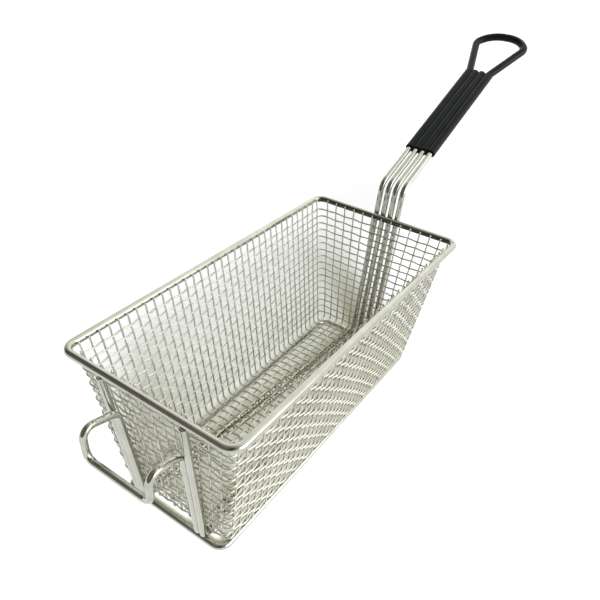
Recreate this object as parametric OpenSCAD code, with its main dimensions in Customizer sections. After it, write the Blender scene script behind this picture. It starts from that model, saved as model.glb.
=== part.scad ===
// Deep fryer basket: woven wire mesh in a rod frame, with a front hook and a coated rod handle.
// Millimetres. X is across the basket, +Y runs towards the handle, Z is up from the floor.

/* [Basket] */
// Width over the rim rod
basket_w = 165; // [150:1:200]
// Length over the rim rod
basket_l = 336; // [280:2:400]
// Height from the floor to the top of the rim
basket_h = 148; // [120:1:180]
// Corner radius of the rim rod, on its centre line
rim_corner_r = 10; // [9:1:16]
// Width of the bottom frame, between rod centres
frame_w = 102; // [98:1:106]
// Length of the bottom frame, between rod centres
frame_l = 298; // [260:2:330]
// Corner radius of the bottom frame, on its centre line
frame_corner_r = 9; // [8:1:12]

/* [Rods] */
// Diameter of the rim rod
rim_rod_d = 6.3; // [5.5:0.1:7]
// Diameter of the frame, hook and handle rods
rod_d = 5.7; // [5:0.1:6]
// Bend radius of the rods where they turn from the floor up a wall
foot_bend_r = 9; // [8:0.5:12]
// How far inside the frame's end rails those bends are centred
foot_inset = 6.7; // [5.5:0.1:8]

/* [Mesh] */
// Diameter of the mesh wire
mesh_d = 1.5; // [1.2:0.1:1.6]
// Width of the mesh floor, between the outer wires' centres
floor_w = 109; // [106:1:112]
// Corner radius of the mesh at the rim
mesh_top_corner_r = 7; // [6:0.5:9]
// Corner radius of the mesh at the floor
mesh_floor_corner_r = 6; // [5:0.5:7]
// Bend radius of the mesh wires between a wall and the floor
mesh_bend_r = 3.5; // [3:0.5:4]
// Number of mesh spaces along a long wall
side_spaces = 34; // [20:2:34]
// Number of upright wires in an end wall
end_wires = 13; // [9:2:13]
// Spacing of the end wall's upright wires at the rim
end_pitch_top = 10.8; // [9:0.1:11.2]
// Number of wire rings round the basket
ring_count = 17; // [8:1:17]
// Distance from the top of the rim down to the first ring
first_ring_drop = 12; // [10:0.5:14]

/* [Hook] */
// Distance between the two ends of the handle rod under the front rim
strut_top_span = 77.2; // [70:0.2:84]
// Distance between the feet of the handle rod at the front rail
strut_foot_span = 69; // [66:0.5:72]
// How far the handle rod's ends stand out past the rim rod's centre line
strut_top_out = 1.2; // [0.6:0.1:2]
// Height at which the hook leaves the front wall
hook_root_z = 109; // [96:1:114]
// Reach of the hook in front of the front wall rods
hook_reach = 30; // [26:0.5:36]
// Rise of the hook's arms from wall to tip
hook_rise = 8; // [4:0.5:10]
// Depth of the hook's drop, between rod centres
hook_drop = 28; // [24:0.5:32]
// Width of the hook's cross bar, between rod centres
hook_bar_span = 62; // [58:0.5:64]
// Bend radius of the hook
hook_bend_r = 8; // [6:0.5:9]

/* [Handle] */
// Spacing of the four handle rods
handle_pitch = 7.92; // [7.4:0.02:8.4]
// Height of the bend between the back rods and the grip
handle_bend_z = 177; // [170:1:190]
// Bend radius there
handle_bend_r = 14; // [10:1:18]
// Slope of the grip above level
handle_angle = 21.7; // [14:0.1:30]
// Length of bare rod between the bend and the coating
bare_length = 58.5; // [50:0.5:70]
// Length of the coated grip
grip_length = 146; // [120:1:170]
// Radius of the coating round each grip rod
grip_r = 4.7; // [4.3:0.1:5]
// Radius of the coating round the end loop
loop_coat_r = 4.15; // [3.9:0.05:4.6]
// Length of the end loop past the grip
loop_length = 75.5; // [64:0.5:90]
// Greatest width of the end loop, between rod centres
loop_span = 59; // [50:0.5:66]
// Bend radius at the loop's two shoulders
loop_shoulder_r = 12; // [9:0.5:14]
// Bend radius at the loop's two far corners
loop_end_r = 28; // [20:0.5:30]
// Diameter of the short cross wire behind the back wall
cross_wire_d = 1.5; // [1.2:0.1:1.6]
// Height of the short cross wire
cross_wire_z = 45; // [45:1:60]
// Length of the short cross wire
cross_wire_l = 29; // [28:0.5:40]

/* [Hidden] */
// Space between pieces that touch
seat = 0.15;
// A rod is this share thicker where it is bent, and its straight runs reach this far into the bend
bend_swell = 0.01;
bend_lap = 0.2;
// Level length of each wall wire past its bend at the foot, before the floor wire takes over
toe_run = 0.5;
// How far the lowest ring lies above the mesh's bend into the floor
ring_clearance = 0.5;
// Radius at which the floor's cross wires bend level over the rods
floor_bend_r = 5;
// How far the loop's shoulders and far corners lie inside its length and its width
shoulder_inset = 17.5;
loop_end_inset = 13.5;
rod_r = rod_d / 2;
rim_r = rim_rod_d / 2;
mesh_r = mesh_d / 2;
rod_step = rod_d + seat;
layer = mesh_d + seat;

// Heights of the stacked layers at the floor
rail_z = rod_r;
// The bends at the rods' feet lie against the end rails
foot_centre_y = frame_l / 2 - foot_inset;
foot_centre_z = rail_z + sqrt(pow(rod_step + foot_bend_r, 2) - pow(foot_inset, 2));
run_z = foot_centre_z - foot_bend_r;
// The side walls' wires lie on the side rails, and the mesh floor rises from there onto the rods under it
cross_z = rod_d + seat + mesh_r;
deck_z = run_z + rod_r + seat + mesh_r;
deck_x = strut_foot_span / 2 + rod_r + seat + mesh_r;
rim_z = basket_h - rim_r;

// Rim and frame centre lines
rim_x = basket_w / 2 - rim_r;
rim_y = basket_l / 2 - rim_r;

// The lean of a rod that leaves its foot bend and passes y at height z
function foot_lean(y, z) =
    let (dy = y - foot_centre_y, dz = z - foot_centre_z)
    atan2(dy, dz) - asin(foot_bend_r / norm([dy, dz]));
// Where the two straight runs beside a foot bend would cross
function foot_corner(lean) = foot_centre_y + foot_bend_r * tan((90 - lean) / 2);

// The struts' tilted ends lie close under the rim rod, and the back rods pass behind it with a seat's space
strut_top_y = rim_y + strut_top_out;
strut_top_z = rim_z - rim_r - 2 * seat;
front_foot_y = foot_corner(foot_lean(strut_top_y, strut_top_z));
back_rim_y = rim_y + rim_r + seat + rod_r;
back_lean = foot_lean(back_rim_y, rim_z);
back_foot_y = foot_corner(back_lean);
function back_y(z) = back_foot_y + tan(back_lean) * (z - run_z);

// Outer mesh wires: half width and half length at the floor and at the rim
floor_x = floor_w / 2;
mesh_toe = mesh_bend_r + toe_run;
floor_y = min(front_foot_y, back_foot_y) - rod_r - seat - mesh_r;
top_x = rim_x - rim_r - seat - mesh_r;
top_y = rim_y - rim_r - seat - mesh_r;
wall_rise = rim_z - cross_z;
function wall_share(z) = (z - cross_z) / wall_rise;
function mesh_x(z) = floor_x + (top_x - floor_x) * wall_share(z);
function mesh_y(z) = floor_y + (top_y - floor_y) * wall_share(z);
function mesh_corner(z) = mesh_floor_corner_r + (mesh_top_corner_r - mesh_floor_corner_r) * wall_share(z);
side_lean = atan((top_x - floor_x) / wall_rise);

// The floor's cross wires start past the wall wires' feet, set back a little because they tilt
cross_end_x = floor_x - mesh_toe - seat - mesh_r / 3;
floor_rise = (deck_z - cross_z) / (cross_end_x - deck_x);
// Height of the cross wires at x, and of the long wires that lie on them
function cross_height(x) = min(deck_z, cross_z + floor_rise * (cross_end_x - abs(x)));
function long_height(x) = cross_height(x) + (abs(x) > deck_x ? layer / cos(atan(floor_rise)) : layer);

// Mesh spacing, with the last side wire where the corner starts
side_pitch_top = 2 * (top_y - mesh_top_corner_r) / side_spaces;
side_pitch_floor = 2 * (floor_y - mesh_floor_corner_r) / side_spaces;
end_half = (end_wires - 1) / 2;
end_pitch_floor = (floor_x - mesh_floor_corner_r) / end_half;
// The last ring lies just above the mesh's bend into the floor
ring_top_z = basket_h - first_ring_drop;
ring_low_z = long_height(0) + mesh_bend_r + ring_clearance;
ring_pitch = (ring_top_z - ring_low_z) / (ring_count - 1);

// Wires and rods, as lines with bends
strut_foot_x = strut_foot_span / 2;
strut_top_x = strut_top_span / 2;
function strut_share(z) = (z - run_z) / (strut_top_z - run_z);
function strut_x(z) = strut_foot_x + (strut_top_x - strut_foot_x) * strut_share(z);
function strut_y(z) = front_foot_y + (strut_top_y - front_foot_y) * strut_share(z);
hook_y = strut_y(hook_root_z) + hook_reach;
hook_tip_z = hook_root_z + hook_rise;

inner_x = handle_pitch / 2;
outer_x = handle_pitch * 1.5;
bend_y = back_y(handle_bend_z);
// A point on the handle: across, and along the grip from the bend
function on_handle(x, run) = [x, bend_y + run * cos(handle_angle), handle_bend_z + run * sin(handle_angle)];
grip_start = bare_length;
grip_end = grip_start + grip_length;
shoulder_run = grip_end + loop_length - shoulder_inset;
shoulder_x = loop_span / 2;
loop_run = grip_end + loop_length;
loop_end_x = shoulder_x - loop_end_inset;
flare = atan((shoulder_x - outer_x) / (shoulder_run - grip_end));
// The ribs stop just short of the loop's flare, and the inner two end in rounded tips
rib_end = grip_end - loop_shoulder_r * tan(flare / 2) - 2 * seat;
tip_r = handle_pitch - loop_coat_r - seat / 2;
inner_end = rib_end - 1;

function mirror_x(p) = [-p.x, p.y, p.z];
function both_sides(half) = concat(half, [for (i = [len(half) - 1 : -1 : 0]) mirror_x(half[i])]);
function both_bends(half) = concat(half, [for (i = [len(half) - 1 : -1 : 0]) half[i]]);

handle_line = both_sides([
    [strut_top_x, -strut_top_y, strut_top_z],
    [strut_foot_x, -front_foot_y, run_z],
    [outer_x, back_foot_y, run_z],
    [outer_x, bend_y, handle_bend_z],
    on_handle(outer_x, grip_end),
    on_handle(shoulder_x, shoulder_run),
    on_handle(loop_end_x, loop_run)
]);
handle_bends = both_bends([0, foot_bend_r, foot_bend_r, handle_bend_r, loop_shoulder_r, loop_shoulder_r, loop_end_r]);

hook_line = both_sides([
    on_handle(inner_x, inner_end),
    [inner_x, bend_y, handle_bend_z],
    [inner_x, back_foot_y, run_z],
    [strut_foot_x - rod_step, -front_foot_y, run_z],
    [strut_x(hook_root_z) - rod_step, -strut_y(hook_root_z), hook_root_z],
    [strut_x(hook_root_z) - rod_step, -hook_y, hook_tip_z],
    [hook_bar_span / 2, -hook_y, hook_tip_z - hook_drop]
]);
hook_bends = both_bends([0, handle_bend_r, foot_bend_r, foot_bend_r, hook_bend_r, hook_bend_r, hook_bend_r]);

coat_line = both_sides([
    on_handle(outer_x, grip_start),
    on_handle(outer_x, grip_end),
    on_handle(shoulder_x, shoulder_run),
    on_handle(loop_end_x, loop_run)
]);
coat_bends = both_bends([0, loop_shoulder_r, loop_shoulder_r, loop_end_r]);

// The whole part is moved so that the origin is under the middle of its overall length
back_tip_y = on_handle(0, loop_run).y + loop_coat_r;
front_tip_y = -hook_y - rod_r;
shift_y = -(back_tip_y + front_tip_y) / 2;

rod_facets = 24;
wire_facets = 14;

function unit(v) = v / norm(v);
// To a hundredth, so that the pieces of a closed loop meet exactly
function tidy(v) = round(v * 100) / 100;
function heading(points, i) = unit(points[i + 1] - points[i]);
function turn(points, i) = acos(heading(points, i - 1) * heading(points, i));
function setback(points, bends, i) =
    i == 0 || i == len(points) - 1 ? 0 : bends[i] * tan(turn(points, i) / 2);

// The direction that bend i turns towards, square to the run before it.
function bend_side(points, i) =
    let (before = heading(points, i - 1), after = heading(points, i))
    unit(after - before * (before * after));

// The two cross directions of the rod as it reaches bend i.
function cross_x(points, i) =
    i == 1
        ? let (d = heading(points, 0), swing = atan2(d.y, d.x)) [cos(swing) * d.z, sin(swing) * d.z, -sin(acos(d.z))]
        : bend_side(points, i - 1) * cos(turn(points, i - 1)) - heading(points, i - 2) * sin(turn(points, i - 1));

// How far the rod rolls about its own line before bend i, so that the bend lies in its own plane.
function roll(points, i) =
    let (x = cross_x(points, i), y = cross(heading(points, i - 1), x), b = bend_side(points, i))
    atan2(b * y, b * x);

// A round rod that follows the points and turns each inner one with its own bend radius.
module bent_rod(points, bends, r, facets) {
    start = heading(points, 0);
    translate(points[0])
        rotate([0, acos(start.z), atan2(start.y, start.x)])
            rod_from(points, bends, r, facets, 0);
}

// One straight run from the origin along Z, then its bend, then the rest of the rod from there.
module rod_from(points, bends, r, facets, i) {
    run = norm(points[i + 1] - points[i]) - setback(points, bends, i) - setback(points, bends, i + 1);
    lap_before = i == 0 ? 0 : bend_lap;
    lap_after = i == len(points) - 2 ? 0 : bend_lap;
    translate([0, 0, -lap_before])
        cylinder(h = run + lap_before + lap_after, r = r, $fn = facets);
    if (i < len(points) - 2) {
        bend_r = bends[i + 1];
        bend_turn = turn(points, i + 1);
        translate([0, 0, run])
            rotate(roll(points, i + 1)) {
                translate([bend_r, 0, 0])
                    rotate([90, 0, 180])
                        rotate_extrude(angle = bend_turn, $fn = facets * 2)
                            translate([bend_r, 0])
                                circle(r = r * (1 + bend_swell), $fn = facets);
                translate([bend_r, 0, 0])
                    rotate([0, bend_turn, 0])
                        translate([-bend_r, 0, 0])
                            rod_from(points, bends, r, facets, i + 1);
            }
    }
}

// A closed rod loop with rounded corners, level, centred on Z.
module rod_loop(half_x, half_y, corner_r, r, facets) {
    for (side = [-1, 1]) {
        translate([side * half_x, corner_r - half_y, 0])
            rotate([-90, 0, 0])
                cylinder(h = 2 * (half_y - corner_r), r = r, $fn = facets);
        translate([corner_r - half_x, side * half_y, 0])
            rotate([0, 90, 0])
                cylinder(h = 2 * (half_x - corner_r), r = r, $fn = facets);
    }
    for (quarter = [0 : 3]) {
        sx = quarter == 0 || quarter == 3 ? 1 : -1;
        sy = quarter < 2 ? 1 : -1;
        translate([sx * (half_x - corner_r), sy * (half_y - corner_r), 0])
            rotate(90 * quarter)
                rotate_extrude(angle = 90, $fn = facets * 2)
                    translate([corner_r, 0])
                        circle(r = r, $fn = facets);
    }
}

module rim_rod() {
    color("silver")
        translate([0, shift_y, rim_z])
            rod_loop(rim_x, rim_y, rim_corner_r, rim_r, rod_facets);
}

module bottom_frame_rod() {
    color("silver")
        translate([0, shift_y, rail_z])
            rod_loop(frame_w / 2, frame_l / 2, frame_corner_r, rod_r, rod_facets);
}

// One rod: up the front wall, under the floor, up the back wall, round the end loop and back.
module handle_rod() {
    color("lightsteelblue")
        translate([0, shift_y, 0])
            bent_rod(handle_line, handle_bends, rod_r, rod_facets);
}

// One rod: from the grip down the back wall, under the floor, up the front wall and round the hook.
module hook_rod() {
    color("lightsteelblue")
        translate([0, shift_y, 0])
            bent_rod(hook_line, hook_bends, rod_r, rod_facets);
}

module grip_tube(x, from, to) {
    translate(on_handle(x, from))
        rotate([handle_angle - 90, 0, 0])
            cylinder(h = to - from, r = grip_r, $fn = rod_facets);
}

// Dipped coating: four ribs over the grip's rods, then the end loop.
module grip_coating() {
    color("dimgray")
        translate([0, shift_y, 0])
            difference() {
                union() {
                    bent_rod(coat_line, coat_bends, loop_coat_r, rod_facets);
                    for (side = [-1, 1]) {
                        grip_tube(side * outer_x, grip_start - seat, rib_end);
                        grip_tube(side * inner_x, grip_start - seat, rib_end - seat);
                        translate(on_handle(side * inner_x, rib_end - 2 * seat))
                            sphere(r = tip_r, $fn = rod_facets);
                    }
                }
                bent_rod(handle_line, handle_bends, rod_r + seat, rod_facets);
                for (side = [-1, 1])
                    translate(on_handle(side * inner_x, grip_start - grip_r))
                        rotate([handle_angle - 90, 0, 0])
                            cylinder(h = inner_end - grip_start + grip_r + seat, r = rod_r + seat, $fn = rod_facets);
            }
}

module back_cross_wire() {
    cross_r = cross_wire_d / 2;
    color("gray")
        translate([-cross_wire_l / 2, shift_y + back_y(cross_wire_z) - (rod_r + seat + cross_r) / cos(back_lean), cross_wire_z])
            rotate([0, 90, 0])
                cylinder(h = cross_wire_l, r = cross_r, $fn = rod_facets);
}

// The wires of one long wall, each bent in at its foot towards the floor.
module side_wall(side) {
    for (i = [-side_spaces / 2 : side_spaces / 2])
        bent_rod([
            [side * top_x, i * side_pitch_top, rim_z],
            [side * floor_x, i * side_pitch_floor, cross_z],
            [side * (floor_x - mesh_toe), i * side_pitch_floor, cross_z]
        ], [0, mesh_bend_r, 0], mesh_r, wire_facets);
}

module left_wall_wires() {
    color("gainsboro")
        translate([0, shift_y, 0])
            side_wall(-1);
}

module right_wall_wires() {
    color("gainsboro")
        translate([0, shift_y, 0])
            side_wall(1);
}

// The wires of one end wall, each bent in at its foot towards the floor.
module end_wall(side) {
    for (i = [-end_half : end_half]) {
        foot_x = i * end_pitch_floor;
        foot_z = long_height(foot_x);
        bent_rod([
            [i * end_pitch_top, side * top_y, rim_z],
            [foot_x, side * mesh_y(foot_z), foot_z],
            [foot_x, side * (mesh_y(foot_z) - mesh_toe), foot_z]
        ], [0, mesh_bend_r, 0], mesh_r, wire_facets);
    }
}

module front_wall_wires() {
    color("gainsboro")
        translate([0, shift_y, 0])
            end_wall(-1);
}

module back_wall_wires() {
    color("gainsboro")
        translate([0, shift_y, 0])
            end_wall(1);
}

// The wires that run round the basket, on the inside of the upright ones.
module wall_rings() {
    inset = layer / cos(side_lean);
    color("whitesmoke")
        translate([0, shift_y, 0])
            for (k = [0 : ring_count - 1]) {
                z = ring_top_z - k * ring_pitch;
                translate([0, 0, z])
                    rod_loop(
                        tidy(mesh_x(z) - inset), tidy(mesh_y(z) - inset), tidy(mesh_corner(z) - inset),
                        mesh_r, wire_facets
                    );
            }
}

// The floor wires from side to side, lifted in the middle by the rods under them.
module bottom_cross_wires() {
    floor_line = both_sides([[cross_end_x, 0, cross_z], [deck_x, 0, deck_z]]);
    color("gainsboro")
        translate([0, shift_y, 0])
            for (i = [-side_spaces / 2 : side_spaces / 2])
                translate([0, i * side_pitch_floor, 0])
                    bent_rod(floor_line, both_bends([0, floor_bend_r]), mesh_r, wire_facets);
}

module bottom_long_wires() {
    color("gainsboro")
        translate([0, shift_y, 0])
            for (i = [-end_half : end_half]) {
                foot_x = i * end_pitch_floor;
                foot_z = long_height(foot_x);
                half = mesh_y(foot_z) - mesh_toe - seat;
                translate([foot_x, -half, foot_z])
                    rotate([-90, 0, 0])
                        cylinder(h = 2 * half, r = mesh_r, $fn = wire_facets);
            }
}

rim_rod();
bottom_frame_rod();
handle_rod();
hook_rod();
grip_coating();
back_cross_wire();
left_wall_wires();
right_wall_wires();
front_wall_wires();
back_wall_wires();
wall_rings();
bottom_cross_wires();
bottom_long_wires();
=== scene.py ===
import math

import bpy
import numpy as np
from mathutils import Matrix, Vector


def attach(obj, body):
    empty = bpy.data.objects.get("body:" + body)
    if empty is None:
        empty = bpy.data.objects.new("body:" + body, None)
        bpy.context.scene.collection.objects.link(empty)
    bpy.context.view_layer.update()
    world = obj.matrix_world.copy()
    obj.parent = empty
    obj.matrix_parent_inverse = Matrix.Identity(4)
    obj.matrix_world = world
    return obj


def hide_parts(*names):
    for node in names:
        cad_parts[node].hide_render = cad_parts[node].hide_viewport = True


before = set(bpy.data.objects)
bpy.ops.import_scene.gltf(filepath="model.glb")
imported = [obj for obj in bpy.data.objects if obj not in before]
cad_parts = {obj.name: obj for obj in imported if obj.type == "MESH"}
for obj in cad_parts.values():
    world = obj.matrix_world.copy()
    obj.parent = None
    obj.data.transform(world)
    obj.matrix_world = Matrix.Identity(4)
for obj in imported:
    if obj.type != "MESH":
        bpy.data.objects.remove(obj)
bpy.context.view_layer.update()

MM = 0.001

# Sizes of the basket in millimetres, as the part's source has them
RIM_W, RIM_L, RIM_H = 165.0, 336.0, 148.0
RIM_R, ROD_R, WIRE_R = 3.15, 2.85, 0.75
SEAT = 0.15
LAYER = 2 * WIRE_R + SEAT
# The rods bend round the end rails: the bend's radius, the rail's mid line, and how far in the centre lies
FOOT_R, RAIL_Y, FOOT_IN = 9.0, 149.0, 6.7
FOOT_Y = RAIL_Y - FOOT_IN
FOOT_Z = ROD_R + math.sqrt((2 * ROD_R + SEAT + FOOT_R) ** 2 - FOOT_IN ** 2)
RUN_Z = FOOT_Z - FOOT_R
EDGE_Z = 2 * ROD_R + SEAT + WIRE_R
DECK_Z = RUN_Z + ROD_R + SEAT + WIRE_R
RIM_Z = RIM_H - RIM_R
TOP_X = RIM_W / 2 - 2 * RIM_R - SEAT - WIRE_R
TOP_Y = RIM_L / 2 - 2 * RIM_R - SEAT - WIRE_R
FLOOR_X = 54.5
BEND_R = 3.5
STRUT_FOOT_X, STRUT_OUT = 34.5, 1.2
TOE_RUN, RING_CLEAR, FIRST_RING_DROP = 0.5, 0.5, 12.0
# The mesh floor lies on the side rails at its edges and rises onto the rods that run under it
DECK_X = STRUT_FOOT_X + ROD_R + SEAT + WIRE_R
CROSS_END = FLOOR_X - BEND_R - TOE_RUN - SEAT - WIRE_R / 3
RISE = (DECK_Z - EDGE_Z) / (CROSS_END - DECK_X)


def foot_corner(y, z):
    """Where a rod that comes down from a point would meet the runs under the floor, were its bend sharp."""
    dy, dz = y - FOOT_Y, z - FOOT_Z
    lean = math.atan2(dy, dz) - math.asin(FOOT_R / math.hypot(dy, dz))
    return FOOT_Y + FOOT_R * math.tan((math.pi / 2 - lean) / 2)


RIM_Y = RIM_L / 2 - RIM_R
FRONT_FOOT = foot_corner(RIM_Y + STRUT_OUT, RIM_Z - RIM_R - SEAT)
BACK_FOOT = foot_corner(RIM_Y + RIM_R + SEAT + ROD_R, RIM_Z)
FLOOR_Y = min(FRONT_FOOT, BACK_FOOT) - ROD_R - SEAT - WIRE_R
# The row's origin lies under the middle of the overall length
SHIFT = -122.577

# Upright wires to each side of a wall's middle one, and rings
SIDE_N, END_N, RINGS = 17, 6, 17
TOP_CORNER, FLOOR_CORNER = 7.0, 6.0
END_TOP, END_LOW = 10.8, (FLOOR_X - FLOOR_CORNER) / END_N
SIDE_TOP, SIDE_LOW = (TOP_Y - TOP_CORNER) / SIDE_N, (FLOOR_Y - FLOOR_CORNER) / SIDE_N
RING_TOP = RIM_H - FIRST_RING_DROP
RING_LOW = DECK_Z + LAYER + BEND_R + RING_CLEAR
RING_Z = [RING_TOP - k * (RING_TOP - RING_LOW) / (RINGS - 1) for k in range(RINGS)]
# The upright wires' cut ends show over the middle of the rim's inner face
WIRE_TOP = RIM_Z + 1.9
# How far the rings and the upright wires of the walls swing to each side, and the wires of the floor
RING_SWING, UPRIGHT_SWING, FLOOR_SWING = 0.56, 0.22, 0.42
# Bends of the floor's cross wires at the side rails and at the rods
EDGE_BEND, DECK_BEND = 2.0, 5.0
# The wires as drawn, and points along each one
WIRE_DRAWN, WIRE_FACETS, BEND_STEP = WIRE_R * 1.04, 6, 0.5
CROSS_SAMPLES, LONG_SAMPLES, RING_STEPS, CORNER_STEP = 250, 400, 5, 9


def share(z):
    """How far up the walls a height is, from 0 at the floor's edge to 1 at the rim."""
    return (z - EDGE_Z) / (RIM_Z - EDGE_Z)


def wall_x(z):
    """Half the distance between the side walls' mid lines at a height."""
    return FLOOR_X + (TOP_X - FLOOR_X) * share(z) - LAYER / 2


def wall_y(z):
    """Half the distance between the end walls' mid lines at a height."""
    return FLOOR_Y + (TOP_Y - FLOOR_Y) * share(z) - LAYER / 2


def wall_corner(z):
    """The radius of the walls' upright corners at a height."""
    return FLOOR_CORNER + (TOP_CORNER - FLOOR_CORNER) * share(z) - LAYER / 2


def floor_mid(x):
    """Height of the woven floor's mid line at a distance across from the centre plane."""
    return min(DECK_Z, EDGE_Z + RISE * max(0.0, CROSS_END - abs(x))) + LAYER / 2


def smooth_path(points, bends, step):
    """Points along a line with round bends, about a step apart."""
    pts = [np.array(p, float) for p in points]
    out = [pts[0]]
    for i in range(1, len(pts) - 1):
        d1 = pts[i] - pts[i - 1]
        d2 = pts[i + 1] - pts[i]
        d1 /= np.linalg.norm(d1)
        d2 /= np.linalg.norm(d2)
        turn = math.acos(max(-1.0, min(1.0, float(d1 @ d2))))
        back = bends[i] * math.tan(turn / 2)
        side = d2 - d1
        side /= np.linalg.norm(side)
        centre = pts[i] + side * bends[i] / math.cos(turn / 2)
        first = pts[i] - d1 * back
        u = (first - centre) / bends[i]
        n = max(4, int(turn * bends[i] / step) + 1)
        for k in range(n + 1):
            a = turn * k / n
            out.append(centre + bends[i] * (u * math.cos(a) + d1 * math.sin(a)))
    out.append(pts[-1])
    return np.array(out)


def path_lengths(path):
    """The length along a path up to each of its points."""
    seg = np.linalg.norm(np.diff(path, axis=0), axis=1)
    return np.concatenate([[0], np.cumsum(seg)])


def resample(path, count):
    """The same line with a number of points at even steps."""
    s = path_lengths(path)
    even = np.linspace(0, s[-1], count)
    return np.stack([np.interp(even, s, path[:, k]) for k in range(3)], axis=1)


def tube(path, closed=False):
    """Vertices and faces of a round wire along a path, turning as little as it can."""
    n, sides = len(path), WIRE_FACETS
    if closed:
        tangent = np.roll(path, -1, axis=0) - np.roll(path, 1, axis=0)
    else:
        tangent = np.gradient(path, axis=0)
    tangent /= np.linalg.norm(tangent, axis=1)[:, None]
    frame_x = np.zeros_like(path)
    start = np.array((0.3, 0.2, 1.0))
    x = start - tangent[0] * (start @ tangent[0])
    x /= np.linalg.norm(x)
    for i in range(n):
        x = x - tangent[i] * (x @ tangent[i])
        x /= np.linalg.norm(x)
        frame_x[i] = x
    frame_y = np.cross(tangent, frame_x)
    if closed:
        # Spread the leftover twist of a closed loop along it
        last_x = frame_x[-1] - tangent[0] * (frame_x[-1] @ tangent[0])
        twist = math.atan2(float(last_x @ frame_y[0]), float(last_x @ frame_x[0]))
        a = -twist * np.arange(n) / n
        fx = frame_x * np.cos(a)[:, None] + frame_y * np.sin(a)[:, None]
        frame_y = np.cross(tangent, fx)
        frame_x = fx
    ang = np.linspace(0, 2 * math.pi, sides, endpoint=False)
    ring = frame_x[:, None, :] * np.cos(ang)[None, :, None] + frame_y[:, None, :] * np.sin(ang)[None, :, None]
    verts = (path[:, None, :] + ring * WIRE_DRAWN).reshape(-1, 3)
    faces = []
    rows = n if closed else n - 1
    for i in range(rows):
        j = (i + 1) % n
        for k in range(sides):
            m = (k + 1) % sides
            faces.append((i * sides + k, i * sides + m, j * sides + m, j * sides + k))
    if not closed:
        faces.append(tuple(range(sides - 1, -1, -1)))
        faces.append(tuple((n - 1) * sides + k for k in range(sides)))
    return verts, faces


def make_object(name, parts, material, stands_for):
    """One object from several vertex and face lists in millimetres, moved to the row's frame."""
    faces, base = [], 0
    for part_verts, part_faces in parts:
        faces += [tuple(base + i for i in face) for face in part_faces]
        base += len(part_verts)
    verts = (np.concatenate([v for v, _ in parts]) + np.array([0, SHIFT, 0])) * MM
    mesh = bpy.data.meshes.new(name)
    mesh.from_pydata(verts.tolist(), [], faces)
    mesh.polygons.foreach_set("use_smooth", [True] * len(mesh.polygons))
    mesh.update()
    obj = bpy.data.objects.new(name, mesh)
    bpy.context.scene.collection.objects.link(obj)
    mesh.materials.append(material)
    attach(obj, "root")
    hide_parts(*stands_for)


# Materials


def node_material(name):
    """A material with one principled shader."""
    mat = bpy.data.materials.new(name)
    mat.use_nodes = True
    nt = mat.node_tree
    nt.nodes.clear()
    out = nt.nodes.new("ShaderNodeOutputMaterial")
    shader = nt.nodes.new("ShaderNodeBsdfPrincipled")
    nt.links.new(shader.outputs["BSDF"], out.inputs["Surface"])
    return mat, nt, shader


def noise(nt, scale, detail=3.0):
    """Noise in the object's own coordinates, at a scale per metre."""
    coord = nt.nodes.new("ShaderNodeTexCoord")
    node = nt.nodes.new("ShaderNodeTexNoise")
    node.inputs["Scale"].default_value = scale
    node.inputs["Detail"].default_value = detail
    nt.links.new(coord.outputs["Object"], node.inputs["Vector"])
    return node.outputs["Fac"]


def ramp(nt, value, stops):
    """Colours along a value, each with its place from 0 to 1."""
    node = nt.nodes.new("ShaderNodeValToRGB")
    while len(node.color_ramp.elements) < len(stops):
        node.color_ramp.elements.new(0.5)
    for el, (pos, col) in zip(node.color_ramp.elements, stops):
        el.position = pos
        el.color = (*col, 1)
    nt.links.new(value, node.inputs["Fac"])
    return node.outputs["Color"]


def grey_range(nt, value, low, high):
    """Spreads a value from 0 to 1 over another range."""
    node = nt.nodes.new("ShaderNodeMapRange")
    node.inputs["To Min"].default_value = low
    node.inputs["To Max"].default_value = high
    nt.links.new(value, node.inputs["Value"])
    return node.outputs["Result"]


def bump(nt, shader, value, strength, distance):
    """A fine relief that follows a value."""
    node = nt.nodes.new("ShaderNodeBump")
    node.inputs["Strength"].default_value = strength
    node.inputs["Distance"].default_value = distance
    nt.links.new(value, node.inputs["Height"])
    nt.links.new(node.outputs["Normal"], shader.inputs["Normal"])


def plated_material(name, light, dark, rough_low, rough_high, grain):
    """Bright plating with patches of two tones, an uneven gloss and a fine grain."""
    mat, nt, shader = node_material(name)
    shader.inputs["Metallic"].default_value = 1.0
    patches = noise(nt, 60.0, 4.0)
    colour = ramp(nt, patches, [(0.25, dark), (0.7, light)])
    nt.links.new(colour, shader.inputs["Base Color"])
    fine = noise(nt, 900.0, 2.0)
    nt.links.new(grey_range(nt, fine, rough_low, rough_high), shader.inputs["Roughness"])
    bump(nt, shader, noise(nt, grain, 2.0), 0.12, 0.0002)
    return mat, nt, shader, colour


ROD_LOOK = ((0.495, 0.495, 0.435), (0.405, 0.405, 0.345), 0.07, 0.15, 700.0)
MESH_LOOK = ((0.575, 0.575, 0.5), (0.45, 0.45, 0.38), 0.27, 0.4, 1400.0)
rod_mat = plated_material("plated_rod_finish", *ROD_LOOK)[0]
mesh_mat = plated_material("plated_mesh_finish", *MESH_LOOK)[0]


def grip_material():
    """Black dipped plastic with a soft sheen and a fine skin."""
    mat, nt, shader = node_material("grip_finish")
    patches = noise(nt, 90.0, 4.0)
    colour = ramp(nt, patches, [(0.3, (0.0025, 0.0035, 0.003)), (0.7, (0.005, 0.0065, 0.0055))])
    nt.links.new(colour, shader.inputs["Base Color"])
    shader.inputs["Specular IOR Level"].default_value = 0.1
    nt.links.new(grey_range(nt, noise(nt, 500.0, 3.0), 0.26, 0.38), shader.inputs["Roughness"])
    bump(nt, shader, noise(nt, 1600.0, 3.0), 0.2, 0.0002)
    return mat


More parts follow.
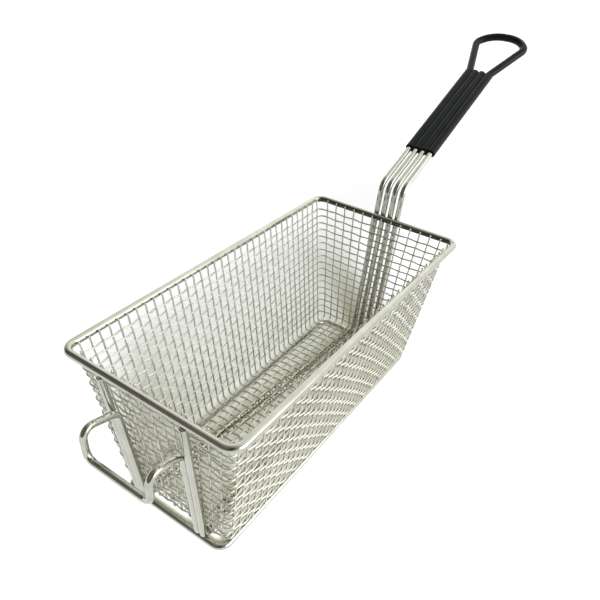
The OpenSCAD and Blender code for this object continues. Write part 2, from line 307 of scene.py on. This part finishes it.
def rim_material():
    """The rod finish, with a painted dark reflection on the lower inner face of the back rim."""
    mat, nt, shader, colour = plated_material("rim_finish_painted_reflection", *ROD_LOOK)
    coord = nt.nodes.new("ShaderNodeTexCoord")
    facing = nt.nodes.new("ShaderNodeSeparateXYZ")
    place = nt.nodes.new("ShaderNodeSeparateXYZ")
    nt.links.new(coord.outputs["Normal"], facing.inputs[0])
    nt.links.new(coord.outputs["Object"], place.inputs[0])

    def step_up(value, low, high):
        node = nt.nodes.new("ShaderNodeMapRange")
        node.interpolation_type = "SMOOTHSTEP"
        node.inputs["From Min"].default_value = low
        node.inputs["From Max"].default_value = high
        nt.links.new(value, node.inputs["Value"])
        return node.outputs["Result"]

    def times(a, b):
        node = nt.nodes.new("ShaderNodeMath")
        node.operation = "MULTIPLY"
        nt.links.new(a, node.inputs[0])
        nt.links.new(b, node.inputs[1])
        return node.outputs[0]

    # Painted dark reflection: the lower, inward-facing side of the back half of the rim turns near black, in
    # patches
    inward = step_up(facing.outputs["Y"], -0.1, -0.5)
    low = step_up(facing.outputs["Z"], 0.75, 0.5)
    painted_reflection = times(times(inward, low), step_up(place.outputs["Y"], 0.0, 0.01))
    patchy_painted_reflection = times(painted_reflection, grey_range(nt, noise(nt, 140.0, 3.0), 0.75, 1.0))
    mix = nt.nodes.new("ShaderNodeMix")
    mix.data_type = "RGBA"
    nt.links.new(patchy_painted_reflection, mix.inputs[0])
    nt.links.new(colour, mix.inputs[6])
    # Near black colour of the painted dark reflection
    mix.inputs[7].default_value = (0.03, 0.03, 0.022, 1)
    nt.links.new(mix.outputs[2], shader.inputs["Base Color"])
    return mat


# Woven mesh: each wire goes over and under the ones that it crosses


def weave(path, normals, crossings, first_sign):
    """Offsets a path along its normals so that it swings from side to side between crossings."""
    s = path_lengths(path)
    order = np.arange(len(crossings), dtype=float)
    c = np.array(crossings)
    gap_in = c[1] - c[0]
    gap_out = c[-1] - c[-2]
    xs = np.concatenate([[c[0] - 3 * gap_in], c, [c[-1] + 3 * gap_out]])
    ys = np.concatenate([[-3], order, [order[-1] + 3]])
    phase = np.interp(s, xs, ys)
    swing = np.interp(phase, [RINGS - 1, RINGS, order[-1] - RINGS, order[-1] - RINGS + 1],
                      [UPRIGHT_SWING, FLOOR_SWING, FLOOR_SWING, UPRIGHT_SWING])
    off = first_sign * swing * np.cos(math.pi * phase)
    return path + normals * off[:, None]


def wall_to_wall(axis, i, samples):
    """A wire's mid line down one wall, over the floor and up the other wall, with its outward normals."""
    if axis == "x":
        low = SIDE_LOW * i
        top = low + (SIDE_TOP - SIDE_LOW) * i * share(WIRE_TOP)
        edge, deck = EDGE_Z + LAYER / 2, DECK_Z + LAYER / 2
        half = [(wall_x(WIRE_TOP), top, WIRE_TOP), (wall_x(edge), low, edge),
                (CROSS_END, low, edge), (DECK_X, low, deck)]
        pts = half + [(-x, y, z) for x, y, z in reversed(half)]
        bends = [0, BEND_R - LAYER / 2, EDGE_BEND, DECK_BEND, DECK_BEND, EDGE_BEND, BEND_R - LAYER / 2, 0]
    else:
        low = END_LOW * i
        top = low + (END_TOP - END_LOW) * i * share(WIRE_TOP)
        z, y = floor_mid(low), wall_y(WIRE_TOP)
        pts = [(top, -y, WIRE_TOP), (low, -wall_y(z), z), (low, wall_y(z), z), (top, y, WIRE_TOP)]
        bends = [0, BEND_R, BEND_R, 0]
    path = resample(smooth_path(pts, bends, BEND_STEP), samples)
    tangent = np.gradient(path, axis=0)
    tangent /= np.linalg.norm(tangent, axis=1)[:, None]
    across = np.array([0, 1.0, 0]) if axis == "x" else np.array([1.0, 0, 0])
    normal = np.cross(tangent, across)
    normal /= np.linalg.norm(normal, axis=1)[:, None]
    # Outward is down on the floor
    if normal[len(normal) // 2][2] > 0:
        normal = -normal
    return path, normal


def crossing_places(path, axis):
    """Where along the wire the rings and the floor's other wires cross it."""
    s = path_lengths(path)
    mid = len(path) // 2
    wall = path[:, 2] > RING_LOW - 3
    first, last = wall.copy(), wall.copy()
    first[mid:] = False
    last[:mid] = False
    rings_in = [float(np.interp(-z, -path[first, 2], s[first])) for z in RING_Z]
    rings_out = [float(np.interp(z, path[last, 2], s[last])) for z in reversed(RING_Z)]
    if axis == "x":
        floor = [float(np.interp(-END_LOW * j, -path[:, 0], s)) for j in range(END_N, -END_N - 1, -1)]
    else:
        floor = [float(np.interp(SIDE_LOW * j, path[:, 1], s)) for j in range(-SIDE_N, SIDE_N + 1)]
    return rings_in + floor + rings_out


cross_parts = []
for i in range(-SIDE_N, SIDE_N + 1):
    path, normal = wall_to_wall("x", i, CROSS_SAMPLES)
    woven = weave(path, normal, crossing_places(path, "x"), 1 if i % 2 == 0 else -1)
    cross_parts.append(tube(woven))
make_object("mesh_cross_wires", cross_parts, mesh_mat,
            ("left_wall_wires", "right_wall_wires", "bottom_cross_wires"))

long_parts = []
for j in range(-END_N, END_N + 1):
    path, normal = wall_to_wall("y", j, LONG_SAMPLES)
    woven = weave(path, normal, crossing_places(path, "y"), 1 if j % 2 == 0 else -1)
    long_parts.append(tube(woven))
make_object("mesh_long_wires", long_parts, mesh_mat,
            ("front_wall_wires", "back_wall_wires", "bottom_long_wires"))


def ring_line(z):
    """A level ring's mid line, its outward normals and the places of the upright wires round it."""
    hx, hy, r = wall_x(z), wall_y(z), wall_corner(z)
    pts, nor, marks = [], [], []
    side_places = [(SIDE_LOW + (SIDE_TOP - SIDE_LOW) * share(z)) * i for i in range(-SIDE_N, SIDE_N + 1)]
    end_places = [(END_LOW + (END_TOP - END_LOW) * share(z)) * j for j in range(-END_N, END_N + 1)]

    def add(p, n, mark=False):
        if mark:
            marks.append(len(pts))
        pts.append(p)
        nor.append(n)

    def straight(fixed_axis, fixed, places, outward):
        for n, q in enumerate(places):
            p = [0, 0, z]
            p[fixed_axis] = fixed
            p[1 - fixed_axis] = q
            add(p, outward, True)
            if n + 1 < len(places):
                for f in range(1, RING_STEPS):
                    p = [0, 0, z]
                    p[fixed_axis] = fixed
                    p[1 - fixed_axis] = q + (places[n + 1] - q) * f / RING_STEPS
                    add(p, outward)

    def corner(cx, cy, a0):
        for degrees in range(a0 + CORNER_STEP, a0 + 90, CORNER_STEP):
            a = math.radians(degrees)
            add([cx + r * math.cos(a), cy + r * math.sin(a), z], [math.cos(a), math.sin(a), 0])

    straight(0, hx, side_places, [1, 0, 0])
    corner(hx - r, hy - r, 0)
    straight(1, hy, end_places[::-1], [0, 1, 0])
    corner(r - hx, hy - r, 90)
    straight(0, -hx, side_places[::-1], [-1, 0, 0])
    corner(r - hx, r - hy, 180)
    straight(1, -hy, end_places, [0, -1, 0])
    corner(hx - r, r - hy, 270)
    return np.array(pts, float), np.array(nor, float), marks


ring_parts = []
for k, z in enumerate(RING_Z):
    pts, nor, marks = ring_line(z)
    idx = np.arange(len(pts), dtype=float)
    m = np.array(marks + [marks[0] + len(pts)], float)
    phase = np.interp(idx, m, np.arange(len(m)))
    sign = 1 if k % 2 == 0 else -1
    off = sign * RING_SWING * np.cos(math.pi * phase)
    ring_parts.append(tube(pts + nor * off[:, None], closed=True))
make_object("mesh_rings", ring_parts, mesh_mat, ("wall_rings",))


def dress(material, *names):
    """Gives the part's own solids a material. Those of the mesh wires are replaced, so it doesn't show."""
    for name in names:
        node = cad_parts[name]
        node.data.materials.clear()
        node.data.materials.append(material)


dress(rod_mat, "bottom_frame_rod", "handle_rod", "hook_rod", "back_cross_wire")
dress(rim_material(), "rim_rod")
dress(grip_material(), "grip_coating")
dress(mesh_mat, "left_wall_wires", "right_wall_wires", "front_wall_wires", "back_wall_wires", "wall_rings",
      "bottom_cross_wires", "bottom_long_wires")

# Floor: white to the camera and in reflections, and it keeps the object's shadow


def ray_flag(nt, names):
    """1 for a ray of one of these kinds, and otherwise 0."""
    path = nt.nodes.new("ShaderNodeLightPath")
    total = path.outputs[names[0]]
    for name in names[1:]:
        add = nt.nodes.new("ShaderNodeMath")
        add.operation = "MAXIMUM"
        nt.links.new(total, add.inputs[0])
        nt.links.new(path.outputs[name], add.inputs[1])
        total = add.outputs[0]
    return total


SEEN = ("Is Camera Ray", "Is Glossy Ray", "Is Transmission Ray")
FLOOR_SIZE, FLOOR_DROP = 12.0, 0.0002
bpy.ops.mesh.primitive_plane_add(size=FLOOR_SIZE, location=(0, 0, -FLOOR_DROP))
floor = bpy.context.active_object
floor.name = "studio_floor"
floor_mat = bpy.data.materials.new("floor_finish")
floor_mat.use_nodes = True
nt = floor_mat.node_tree
nt.nodes.clear()
out = nt.nodes.new("ShaderNodeOutputMaterial")
plain = nt.nodes.new("ShaderNodeBsdfDiffuse")
plain.inputs["Color"].default_value = (0.8, 0.8, 0.8, 1)
faint = nt.nodes.new("ShaderNodeBsdfDiffuse")
faint.inputs["Color"].default_value = (1, 1, 1, 1)
glow = nt.nodes.new("ShaderNodeEmission")
glow.inputs["Color"].default_value = (1, 1, 0.3, 1)
glow.inputs["Strength"].default_value = 0.13
both = nt.nodes.new("ShaderNodeAddShader")
mix = nt.nodes.new("ShaderNodeMixShader")
nt.links.new(glow.outputs[0], both.inputs[0])
nt.links.new(faint.outputs[0], both.inputs[1])
nt.links.new(ray_flag(nt, SEEN), mix.inputs["Fac"])
nt.links.new(plain.outputs[0], mix.inputs[1])
nt.links.new(both.outputs[0], mix.inputs[2])
nt.links.new(mix.outputs[0], out.inputs["Surface"])
floor.data.materials.append(floor_mat)

# World: white to the camera, and in reflections a room that is bright at the back and dark behind the camera
DARK_SIDE = Vector((-0.25, -0.8, 0.55)).normalized()
WINDOW_SIDE = Vector((0.93, 0.2, 0.3)).normalized()
world = bpy.data.worlds.new("studio")
bpy.context.scene.world = world
world.use_nodes = True
nt = world.node_tree
nt.nodes.clear()
out = nt.nodes.new("ShaderNodeOutputWorld")
coord = nt.nodes.new("ShaderNodeTexCoord")
dot = nt.nodes.new("ShaderNodeVectorMath")
dot.operation = "DOT_PRODUCT"
dot.inputs[1].default_value = DARK_SIDE
nt.links.new(coord.outputs["Generated"], dot.inputs[0])
spread = nt.nodes.new("ShaderNodeMapRange")
spread.inputs["From Min"].default_value = -1.0
nt.links.new(dot.outputs["Value"], spread.inputs["Value"])
room = ramp(nt, spread.outputs["Result"], [
    (0.0, (0.7, 0.7, 0.68)), (0.25, (0.85, 0.85, 0.83)), (0.37, (1, 1, 0.98)), (0.5, (0.8, 0.8, 0.77)),
    (0.6, (0.55, 0.55, 0.52)), (0.7, (0.3, 0.3, 0.275)), (0.79, (0.1, 0.1, 0.088)),
    (0.87, (0.04, 0.04, 0.034)), (0.94, (0.12, 0.12, 0.105)), (1.0, (0.14, 0.14, 0.125))])
seen_room = nt.nodes.new("ShaderNodeBackground")
nt.links.new(room, seen_room.inputs["Color"])
seen_room.inputs["Strength"].default_value = 1.7
# A window at the right of the room, which the near right wall mirrors
side = nt.nodes.new("ShaderNodeVectorMath")
side.operation = "DOT_PRODUCT"
side.inputs[1].default_value = WINDOW_SIDE
nt.links.new(coord.outputs["Generated"], side.inputs[0])
edge = nt.nodes.new("ShaderNodeMapRange")
edge.interpolation_type = "SMOOTHSTEP"
edge.inputs["From Min"].default_value = 0.85
edge.inputs["From Max"].default_value = 0.97
edge.inputs["To Max"].default_value = 5.0
nt.links.new(side.outputs["Value"], edge.inputs["Value"])
window = nt.nodes.new("ShaderNodeBackground")
nt.links.new(edge.outputs["Result"], window.inputs["Strength"])
lit_room = nt.nodes.new("ShaderNodeAddShader")
nt.links.new(seen_room.outputs[0], lit_room.inputs[0])
nt.links.new(window.outputs[0], lit_room.inputs[1])
white = nt.nodes.new("ShaderNodeBackground")
white.inputs["Color"].default_value = (1, 1, 1, 1)
dim = nt.nodes.new("ShaderNodeMapRange")
dim.inputs["To Min"].default_value = 0.07
dim.inputs["To Max"].default_value = 1.0
nt.links.new(ray_flag(nt, ("Is Camera Ray", "Is Transmission Ray")), dim.inputs["Value"])
nt.links.new(dim.outputs["Result"], white.inputs["Strength"])
mix = nt.nodes.new("ShaderNodeMixShader")
nt.links.new(ray_flag(nt, ("Is Glossy Ray",)), mix.inputs["Fac"])
nt.links.new(white.outputs[0], mix.inputs[1])
nt.links.new(lit_room.outputs[0], mix.inputs[2])
nt.links.new(mix.outputs[0], out.inputs["Surface"])


def sun_light(name, toward, width, power, colour=(1, 1, 1)):
    """A distant soft light that shines from a direction, as wide as an angle in degrees."""
    light = bpy.data.lights.new(name, "SUN")
    light.angle = math.radians(width)
    light.energy = power
    light.color = colour
    obj = bpy.data.objects.new(name, light)
    obj.location = Vector(toward) * 2
    obj.rotation_euler = Vector(toward).to_track_quat("Z", "Y").to_euler()
    bpy.context.scene.collection.objects.link(obj)
    return obj


# The key light comes from a little to the camera's right, so that the basket hides most of its shadow
key = sun_light("key_light", (0.595, -0.555, 0.581), 23, 5.25, (0.975, 0.975, 1.1))
# The photo's rods mirror a dim side behind the camera, so the key light isn't seen in them
key.visible_glossy = False
sun_light("top_light", (-0.1, 0.1, 1.0), 60, 0.2)

# Camera, fitted to the photograph
AZ, EL, ROLL = math.radians(33.165), math.radians(34.61), math.radians(3.289)
FOCAL_PIXELS, IMAGE_PIXELS = 615.5, 600.0
CAMERA_AT = (242.9, -353.9 + SHIFT, 428.1)
back = Vector((math.sin(AZ) * math.cos(EL), -math.cos(AZ) * math.cos(EL), math.sin(EL)))
right0 = Vector((math.cos(AZ), math.sin(AZ), 0))
up0 = back.cross(right0)
right = right0 * math.cos(ROLL) + up0 * math.sin(ROLL)
up = up0 * math.cos(ROLL) - right0 * math.sin(ROLL)
cam_data = bpy.data.cameras.new("camera")
cam_data.sensor_width = 36.0
cam_data.lens = cam_data.sensor_width * FOCAL_PIXELS / IMAGE_PIXELS
cam_data.shift_x = 0.0003
cam_data.shift_y = 0.0027
cam_data.clip_start = 0.01
cam_data.clip_end = 50.0
cam = bpy.data.objects.new("camera", cam_data)
rot = Matrix((right, up, back)).transposed().to_4x4()
cam.matrix_world = Matrix.Translation(Vector(CAMERA_AT) * MM) @ rot
bpy.context.scene.collection.objects.link(cam)
bpy.context.scene.camera = cam

bpy.context.scene.view_settings.view_transform = "Standard"
